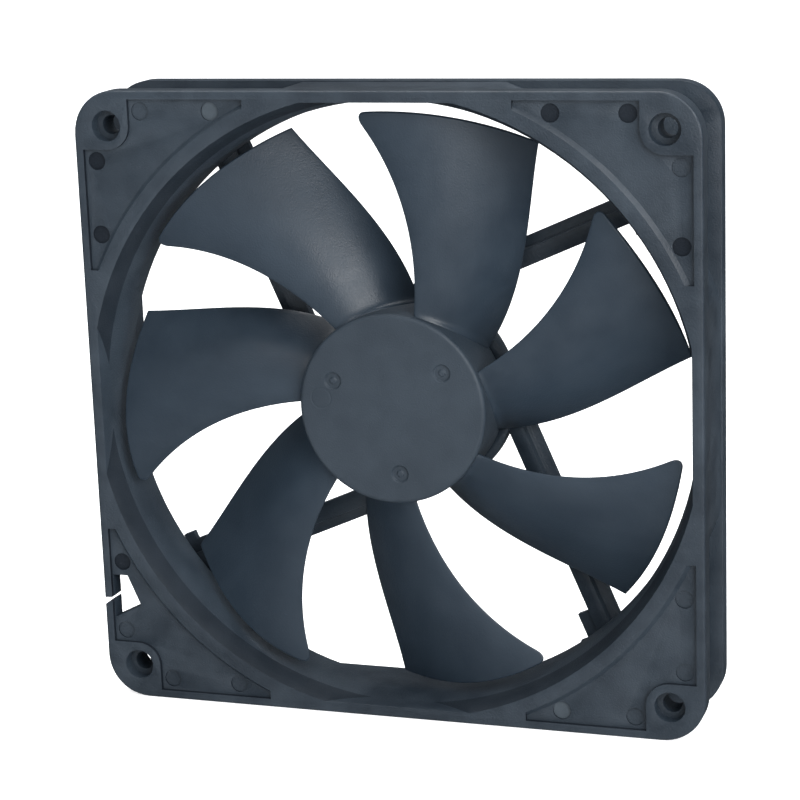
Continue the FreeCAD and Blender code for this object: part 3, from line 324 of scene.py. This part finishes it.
def dullSolid(name, color, rough, grain):
    # Plain moulded or sintered stuff, mottled, with a fine grain.
    material, tree, shader, place = nodeTree(name)
    cloud = noise(tree, place, dullPattern["cloud"], 4.0, 0.6)
    fine = noise(tree, place, dullPattern["grain"], 2.0, 0.5)
    darker = tuple(value * dullPattern["darker"] for value in color)
    tree.links.new(mixColor(tree, spread(tree, cloud, 0.35, 0.65, 0.0, 1.0), darker, color),
                   shader.inputs["Base Color"])
    tree.links.new(spread(tree, cloud, 0.3, 0.7, rough - dullPattern["roughSwing"],
                          rough + dullPattern["roughSwing"]), shader.inputs["Roughness"])
    bump(tree, shader, [(fine, grain * mm)])
    return material


# Metals: colour, roughness, lines per metre and how they stretch. Dull solids: colour, roughness, grain.
framePlastic = mouldedPlastic("framePlastic", plasticLook["frame"])
# The second and third plastics here carry painted shade: on the relief sides and dark marks, and on the
# bore's mouth.
wallShadePlastic = mouldedPlastic("wallShadePlastic", plasticLook["walls"])
mouthShadePlastic = mouldedPlastic("mouthShadePlastic", plasticLook["mouth"])
spotPlastic = mouldedPlastic("spotPlastic", plasticLook["spots"])
bladePlastic = mouldedPlastic("bladePlastic", plasticLook["blades"])
hubPlastic = mouldedPlastic("hubPlastic", plasticLook["hub"])
nodeFinishes = {
    "zinc_steel": metal("zincSteel", (0.58, 0.59, 0.61), 0.34, 900.0, (1.0, 0.05, 1.0)),
    "magnet": dullSolid("bondedFerrite", (0.05, 0.045, 0.042), 0.62, 0.05),
    "brass": metal("turnedBrass", (0.74, 0.52, 0.22), 0.28, 1500.0, (1.0, 8.0, 1.0)),
    "shaft_steel": metal("groundSteel", (0.70, 0.71, 0.73), 0.16, 1500.0, (1.0, 8.0, 1.0)),
    "clip_nylon": dullSolid("naturalNylon", (0.72, 0.69, 0.60), 0.45, 0.02),
    "seal_rubber": dullSolid("sealRubber", (0.018, 0.018, 0.019), 0.7, 0.03),
    "sintered_bronze": metal("sinteredBronze", (0.42, 0.27, 0.13), 0.48, 2600.0, (1.0, 1.0, 1.0)),
    "cap_plastic": dullSolid("capPlastic", (0.03, 0.032, 0.035), 0.5, 0.03),
    "core_steel": metal("coreSheets", (0.30, 0.31, 0.33), 0.4, 700.0, (0.02, 5.0, 0.02)),
    "insulator_plastic": dullSolid("bobbinPlastic", (0.42, 0.06, 0.035), 0.45, 0.03),
    "copper_wire": windings("copperTurns"),
    "tinned_metal": metal("tinnedMetal", (0.62, 0.63, 0.63), 0.3, 1200.0, (1.0, 1.0, 1.0)),
    "board_laminate": paintedBoard("boardLacquer"),
    "chip_plastic": dullSolid("chipPlastic", (0.022, 0.022, 0.024), 0.5, 0.02),
    "capacitor_ceramic": dullSolid("tanCeramic", (0.40, 0.26, 0.14), 0.5, 0.02),
    "label_film": labelFilm("labelFilm"),
}
for part in frame["record"]["subparts"]:
    finish = nodeFinishes.get(part["material_slot"])
    if finish:
        node = frame["nodes"][part["node"]]
        node.data.materials.clear()
        node.data.materials.append(finish)
print("finishes made")


# Millimetres; a facing is how squarely a face looks along the axis, from 0 to 1; marks are X and Z.
frameEdges = {
    "width": 0.16, "segments": 2, "angle": 32, "seamGap": 0.002, "flatAngle": 0.5,
    "reliefReach": 68.3, "boreReach": 71.0, "wallFront": -12.4, "wallRear": -11.0, "wallFacing": 0.4,
    "mouthReach": 69.8, "mouthRear": -7.6, "mouthFacing": (0.2, 0.8),
    "markFloor": -11.05, "markSlack": 0.05, "markFacing": 0.9, "markReach": 2.2,
    "darkMarks": [(-65.4, 54.4), (-65.4, 38.0), (38.0, 65.4), (54.4, 65.4), (65.4, 38.0), (-65.4, -38.0)],
    "paleMarks": [(-38.0, 65.4), (38.0, -65.4)],
}
frameFinishes = [framePlastic, wallShadePlastic, mouthShadePlastic, spotPlastic]


def faceFinishes(mesh):
    # Each face gets its place in frameFinishes. The upright sides of the reliefs get painted shade in a dull
    # dark finish, and a few ejector marks are given the same dark finish; the narrowing mouth of the bore is
    # smoother with painted shade, and two marks are paler.
    size = frameEdges
    centre = np.empty(len(mesh.polygons) * 3)
    normal = np.empty(len(mesh.polygons) * 3)
    mesh.polygons.foreach_get("center", centre)
    mesh.polygons.foreach_get("normal", normal)
    x, depth, z = (centre.reshape(-1, 3) / mm).T
    facing = np.abs(normal.reshape(-1, 3)[:, 1])
    far = np.maximum(np.abs(x), np.abs(z))
    radius = np.hypot(x, z)
    inReach = (far < size["reliefReach"]) & (radius > size["boreReach"])
    sunk = (depth > size["wallFront"]) & (depth < size["wallRear"])
    # Painted shade on the upright sides of the reliefs.
    finish = (inReach & sunk & (facing < size["wallFacing"])).astype(int) * frameFinishes.index(wallShadePlastic)
    onMark = inReach & (facing > size["markFacing"]) & (np.abs(depth - size["markFloor"]) < size["markSlack"])
    for marks, plastic in ((size["darkMarks"], wallShadePlastic), (size["paleMarks"], spotPlastic)):
        for markX, markZ in marks:
            near = np.hypot(x - markX, z - markZ) < size["markReach"]
            finish[onMark & near] = frameFinishes.index(plastic)
    # Painted shade: the slanting mouth of the bore gets a darker finish.
    slanting = (facing > size["mouthFacing"][0]) & (facing < size["mouthFacing"][1])
    mouth = slanting & (radius < size["mouthReach"]) & (depth < size["mouthRear"])
    finish[mouth] = frameFinishes.index(mouthShadePlastic)
    return finish


def buildFrame():
    # The moulded frame as modelled, its seams merged and every crisp edge given a moulding's small radius.
    mesh = frame["nodes"]["frame"].data.copy()
    mesh.name = "mouldedFrame"
    work = bmesh.new()
    work.from_mesh(mesh)
    bmesh.ops.remove_doubles(work, verts=work.verts, dist=frameEdges["seamGap"] * mm)
    bmesh.ops.dissolve_limit(work, angle_limit=math.radians(frameEdges["flatAngle"]), verts=work.verts,
                             edges=work.edges)
    work.to_mesh(mesh)
    work.free()
    smoothAll(mesh)
    mesh.materials.clear()
    for plastic in frameFinishes:
        mesh.materials.append(plastic)
    mesh.polygons.foreach_set("material_index", faceFinishes(mesh).astype(np.int32))
    piece = placeInScene("mouldedFrame", mesh)
    edges = piece.modifiers.new("edges", "BEVEL")
    edges.width = frameEdges["width"] * mm
    edges.segments = frameEdges["segments"]
    edges.limit_method = "ANGLE"
    edges.angle_limit = math.radians(frameEdges["angle"])
    edges.harden_normals = True
    edges.use_clamp_overlap = True
    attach(piece, "frame")
    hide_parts("frame")


buildFrame()
print("frame made")


# Millimetres and degrees. An edge's angle is a start, a slope and a curve over the span.
blade = {
    "count": 7, "hubRadius": 21.3, "tipRadius": 65.1, "rootInside": 0.6, "smoothAngle": 50,
    "leadAngle": (127.3, 14.5, 5.9), "leadPlace": -6.1, "leadAdvance": 0.3, "leadBelly": 2.6,
    "trailAngle": (83.8, 47.0, -17.9), "trailPlace": 7.0, "trailTaper": 2.3, "trailBend": 0.6,
    "camber": (2.0, 3.7), "camberSkew": 0.3,
    "thickMiddle": 1.9, "thickEdge": 0.9, "edgeFullness": 0.35,
    "tipRounding": 3.0, "tipChord": 40.0, "tipEdge": 0.45,
    "rootFlare": 0.9, "flareReach": 0.9, "flareFade": 1.6,
    "spanRows": 90, "tipRows": 8, "tipStart": 0.985, "rowCrowding": 1.15, "chordColumns": 64,
}


def edgeAngle(terms, span):
    return terms[0] + terms[1] * span + terms[2] * span ** 2


def bladeMiddle(radius, share):
    # The middle surface: share runs from 0 on the trailing edge to 1 on the leading edge. Both edges are
    # curves whose angle is a square in the span; along the axis it goes straight from edge to edge, less
    # a bulge towards the front that is a skewed parabola in share.
    span = (radius - blade["hubRadius"]) / (blade["tipRadius"] - blade["hubRadius"])
    lead = edgeAngle(blade["leadAngle"], span)
    trail = edgeAngle(blade["trailAngle"], span)
    leadPlace = blade["leadPlace"] - blade["leadAdvance"] * span - blade["leadBelly"] * span * (1 - span)
    bend = 1 - blade["trailBend"] + blade["trailBend"] * span
    trailPlace = blade["trailPlace"] - blade["trailTaper"] * span * bend
    bulge = blade["camber"][0] + (blade["camber"][1] - blade["camber"][0]) * span
    angle = np.radians(trail + (lead - trail) * share)
    skew = 1 - blade["camberSkew"] * (1 - 2 * share)
    along = trailPlace + (leadPlace - trailPlace) * share - bulge * 4 * share * (1 - share) * skew
    return np.stack([radius * np.cos(angle), along, radius * np.sin(angle)], axis=-1)


def bladePoints():
    # A closed section, thickest at mid chord with half-round edges, carried from inside the hub to the tip.
    # The reach of each chord line falls off on a circle at the leading tip corner, and the root flares
    # into the hub by an amount that dies away as an exponential of the distance from it.
    around = np.linspace(0, 2 * math.pi, 2 * blade["chordColumns"], endpoint=False)
    share = 0.5 - 0.5 * np.cos(around)
    fullness = np.abs(np.sin(around)) ** blade["edgeFullness"]
    rounding = blade["tipRounding"]
    drop = np.clip(rounding - (1 - share) * blade["tipChord"], 0, rounding)
    reach = blade["tipRadius"] - (rounding - np.sqrt(rounding ** 2 - drop ** 2))
    rise = np.linspace(0, 1, blade["spanRows"])[:-1] ** blade["rowCrowding"] * blade["tipStart"]
    rise = np.concatenate([rise, np.linspace(blade["tipStart"], 1.0, blade["tipRows"])])[:, None]
    start = blade["hubRadius"] - blade["rootInside"]
    radius = start + (reach[None, :] - start) * rise
    share = np.broadcast_to(share[None, :], radius.shape)
    middle = bladeMiddle(radius, share)
    step = 0.01  # a small way along the surface, for its slopes
    alongSpan = bladeMiddle(radius + step, share) - middle
    alongChord = bladeMiddle(radius, share + step) - middle
    normal = np.cross(alongSpan, alongChord)
    normal /= np.linalg.norm(normal, axis=-1, keepdims=True)
    thick = blade["thickEdge"] + (blade["thickMiddle"] - blade["thickEdge"]) * np.sin(math.pi * share)
    fromHub = np.clip(radius - blade["hubRadius"], 0, None)
    flare = blade["rootFlare"] * np.exp(-fromHub / blade["flareReach"] * blade["flareFade"])
    half = thick / 2 * fullness + flare * fullness ** 2
    fromTip = np.clip((reach[None, :] - radius) / blade["tipEdge"], 0, 1)
    half = half * np.sqrt(np.clip(1 - (1 - fromTip) ** 2, 0, 1))
    return middle + normal * (half * np.sign(np.sin(around)))[..., None]


def spun(points, angle):
    # Turned about the Y axis, from +X towards -Z.
    c = math.cos(angle)
    s = math.sin(angle)
    turn = np.array([[c, 0, s], [0, 1, 0], [-s, 0, c]])
    return points @ turn.T


# Millimetres and degrees. The face has three dimples, each with a gate stub, and one faint ring.
hub = {
    "radius": 21.3, "face": -8.5, "rear": 7.4, "wall": 1.6, "edge": 0.9, "centre": 0.05,
    "columns": 720, "fineStep": 0.09, "fineInside": 2.2, "fineOutside": 4.2, "fineGap": 0.1,
    "innerRings": 14, "outerRings": 6, "edgeRings": 10, "sideRings": 24,
    "rearRound": 0.25, "rearChamfer": 0.07, "innerRound": 0.2,
    "dimples": 3, "dimpleCircle": 14.6, "dimpleAngle": 36.0, "dimpleRadius": 1.85, "dimpleDepth": 0.5,
    "dimpleSlope": 0.34, "gateRadius": 0.7, "gateHeight": 0.32, "gateSlope": 0.3,
    "ringCircle": 16.3, "ringAngle": 173.0, "ringRadius": 2.25, "ringDepth": 0.06, "ringWidth": 0.16,
}


def hubProfile():
    # Radius and depth down the turned profile: the face, its rounded edge, the side, the rear lip and the
    # inside; the first count of them lie on the face.
    radius = hub["radius"]
    fineStart = hub["dimpleCircle"] - hub["fineInside"]
    fineEnd = hub["dimpleCircle"] + hub["fineOutside"]
    face = np.concatenate([
        np.linspace(hub["centre"], fineStart - hub["fineGap"], hub["innerRings"]),
        np.arange(fineStart, fineEnd, hub["fineStep"]),
        np.linspace(fineEnd + hub["fineGap"], radius - hub["edge"], hub["outerRings"])])
    turn = np.linspace(0, math.pi / 2, hub["edgeRings"])[1:]
    edgeR = radius - hub["edge"] + hub["edge"] * np.sin(turn)
    edgeY = hub["face"] + hub["edge"] - hub["edge"] * np.cos(turn)
    sideY = np.linspace(hub["face"] + hub["edge"], hub["rear"] - hub["rearRound"], hub["sideRings"])[1:]
    inner = radius - hub["wall"]
    tail = np.array([
        (radius - hub["rearChamfer"], hub["rear"] - hub["rearChamfer"]),
        (radius - hub["rearRound"], hub["rear"]),
        (inner + hub["innerRound"], hub["rear"]), (inner, hub["rear"] - hub["innerRound"]),
        (inner, hub["face"] + hub["wall"]), (hub["centre"], hub["face"] + hub["wall"])])
    r = np.concatenate([face, edgeR, np.full(len(sideY), radius), tail[:, 0]])
    y = np.concatenate([np.full(len(face), hub["face"]), edgeY, sideY, tail[:, 1]])
    return r, y, len(face)


def hubPoints():
    # The profile turned right round. On the face the depth grows by a smooth step of the distance from each
    # dimple's centre, less one for its gate, and by a bell curve on the faint ring.
    r, y, faceRings = hubProfile()
    angle = np.linspace(0, 2 * math.pi, hub["columns"], endpoint=False)
    x = r[:, None] * np.cos(angle)[None, :]
    z = r[:, None] * np.sin(angle)[None, :]
    deep = np.zeros_like(x)
    for count in range(hub["dimples"]):
        way = math.radians(hub["dimpleAngle"] + 360 / hub["dimples"] * count)
        gap = np.hypot(x - hub["dimpleCircle"] * math.cos(way), z - hub["dimpleCircle"] * math.sin(way))
        deep += hub["dimpleDepth"] * softStep(hub["dimpleRadius"] - gap, hub["dimpleSlope"])
        deep -= hub["gateHeight"] * softStep(hub["gateRadius"] - gap, hub["gateSlope"])
    way = math.radians(hub["ringAngle"])
    gap = np.hypot(x - hub["ringCircle"] * math.cos(way), z - hub["ringCircle"] * math.sin(way))
    deep += hub["ringDepth"] * np.exp(-((gap - hub["ringRadius"]) / hub["ringWidth"]) ** 2)
    deep[faceRings:] = 0
    return np.stack([x, y[:, None] + deep, z], axis=-1)


def buildImpeller():
    cap = hubPoints()
    rows, columns = cap.shape[:2]
    faces = gridFaces(rows, columns)
    faces.append(list(range(columns)))  # closes the face at its middle
    faces.append(list(range((rows - 1) * columns, rows * columns)))
    hubPiece = newPiece("hubCap", cap.reshape(-1, 3), faces, "rotor", hubPlastic)
    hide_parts("impeller")
    one = bladePoints()
    rows, columns = one.shape[:2]
    faces = gridFaces(rows, columns)
    faces.append(list(range(columns)))  # closes the root, inside the hub
    for count in range(blade["count"]):
        turned = spun(one.reshape(-1, 3), 2 * math.pi * count / blade["count"])
        newPiece(f"blade_{count + 1}", turned, faces, "rotor", bladePlastic,
                 blade["smoothAngle"])


buildImpeller()
print("impeller made")


# Metres. The floor runs back to sweepStart, curves up with sweepRadius and ends as an upright.
studio = {
    "halfWidth": 4.0, "columns": 9, "floorLevel": -0.0701, "floorFront": -3.0, "floorRows": 8,
    "sweepStart": 1.2, "sweepRadius": 0.8, "sweepRows": 17, "upright": (0.4, 3.0), "uprightRows": 6,
    "paper": ((0.84, 0.84, 0.845), (0.88, 0.88, 0.885)), "fibre": 30.0, "paperRough": 0.9, "paperGlow": 0.70,
    "brightWay": (0.32, -0.72, 0.62), "roomFrom": 0.25, "roomTo": 0.95, "roomDark": 0.06, "roomBright": 1.10,
    "roomTint": (0.93, 0.97, 1.0),
    "keyPlace": (0.42, -0.40, 0.26), "keySize": (0.35, 0.35), "keyPower": 3.4,
    "topPlace": (-0.1, 0.1, 0.8), "topSize": (0.9, 0.4), "topPower": 7.0,
}


def buildStudio():
    # A pale floor that curves up into a backdrop: a straight run, a quarter circle and an upright.
    start = studio["sweepStart"]
    radius = studio["sweepRadius"]
    across = np.linspace(-studio["halfWidth"], studio["halfWidth"], studio["columns"])
    turn = np.linspace(0, math.pi / 2, studio["sweepRows"])[1:]
    run = np.concatenate([np.linspace(studio["floorFront"], start, studio["floorRows"]),
                          start + radius * np.sin(turn), np.full(studio["uprightRows"], start + radius)])
    rise = np.concatenate([np.zeros(studio["floorRows"]), radius - radius * np.cos(turn),
                           radius + np.linspace(*studio["upright"], studio["uprightRows"])])
    x = np.broadcast_to(across[None, :], (len(run), len(across)))
    y = np.broadcast_to(run[:, None], x.shape)
    z = np.broadcast_to(rise[:, None], x.shape) + studio["floorLevel"]
    mesh = bpy.data.meshes.new("paperSweep")
    mesh.from_pydata(np.stack([x, y, z], axis=-1).reshape(-1, 3).tolist(), [],
                     gridFaces(len(run), len(across), False))
    smoothAll(mesh)
    sweep = placeInScene("paperSweep", mesh)
    material, tree, shader, place = nodeTree("palePaper")
    fibre = noise(tree, place, studio["fibre"], 4.0, 0.6)
    tree.links.new(mixColor(tree, fibre, *studio["paper"]), shader.inputs["Base Color"])
    shader.inputs["Roughness"].default_value = studio["paperRough"]
    shader.inputs["Emission Color"].default_value = (1.0, 1.0, 1.0, 1.0)
    shader.inputs["Emission Strength"].default_value = studio["paperGlow"]
    mesh.materials.append(material)
    sweep.visible_glossy = False


def softBox(name, place, size, power):
    # A rectangular lamp that looks at the middle of the fan.
    light = bpy.data.lights.new(name, "AREA")
    light.shape = "RECTANGLE"
    light.size, light.size_y = size
    light.energy = power
    lamp = placeInScene(name, light)
    lamp.location = place
    lamp.rotation_euler = (-Vector(place)).to_track_quat("-Z", "Y").to_euler()


def buildLight():
    # The room is bright ahead, above and a little to the right of the fan, and dark elsewhere.
    world = bpy.data.worlds.new("softRoom")
    bpy.context.scene.world = world
    world.use_nodes = True
    tree = world.node_tree
    background = tree.nodes["Background"]
    way = tree.nodes.new("ShaderNodeTexCoord")
    facing = tree.nodes.new("ShaderNodeVectorMath")
    facing.operation = "DOT_PRODUCT"
    tree.links.new(way.outputs["Generated"], facing.inputs[0])
    facing.inputs[1].default_value = Vector(studio["brightWay"]).normalized()
    glow = spread(tree, facing.outputs["Value"], studio["roomFrom"], studio["roomTo"],
                  studio["roomDark"], studio["roomBright"])
    tree.links.new(glow, background.inputs["Strength"])
    background.inputs["Color"].default_value = (*studio["roomTint"], 1.0)
    softBox("keyBox", studio["keyPlace"], studio["keySize"], studio["keyPower"])
    softBox("topBox", studio["topPlace"], studio["topSize"], studio["topPower"])


# Metres, millimetres of lens and degrees.
cameraView = {
    "place": (0.1658, -0.4925, 0.1245), "lens": 108.42, "sensor": 36.0, "nearest": 0.01,
    "pitch": 13.452, "yaw": 18.681, "roll": -2.026,
}


def buildCamera():
    data = bpy.data.cameras.new("viewCamera")
    data.lens = cameraView["lens"]
    data.sensor_width = cameraView["sensor"]
    data.clip_start = cameraView["nearest"]
    camera = placeInScene("viewCamera", data)
    camera.location = cameraView["place"]
    yaw = Matrix.Rotation(math.radians(cameraView["yaw"]), 4, "Z")
    pitch = Matrix.Rotation(math.radians(90 - cameraView["pitch"]), 4, "X")
    roll = Matrix.Rotation(math.radians(cameraView["roll"]), 4, "Z")
    camera.rotation_euler = (yaw @ pitch @ roll).to_euler()
    bpy.context.scene.camera = camera
    bpy.context.scene.view_settings.view_transform = "Standard"


buildStudio()
buildLight()
buildCamera()
print("studio made")
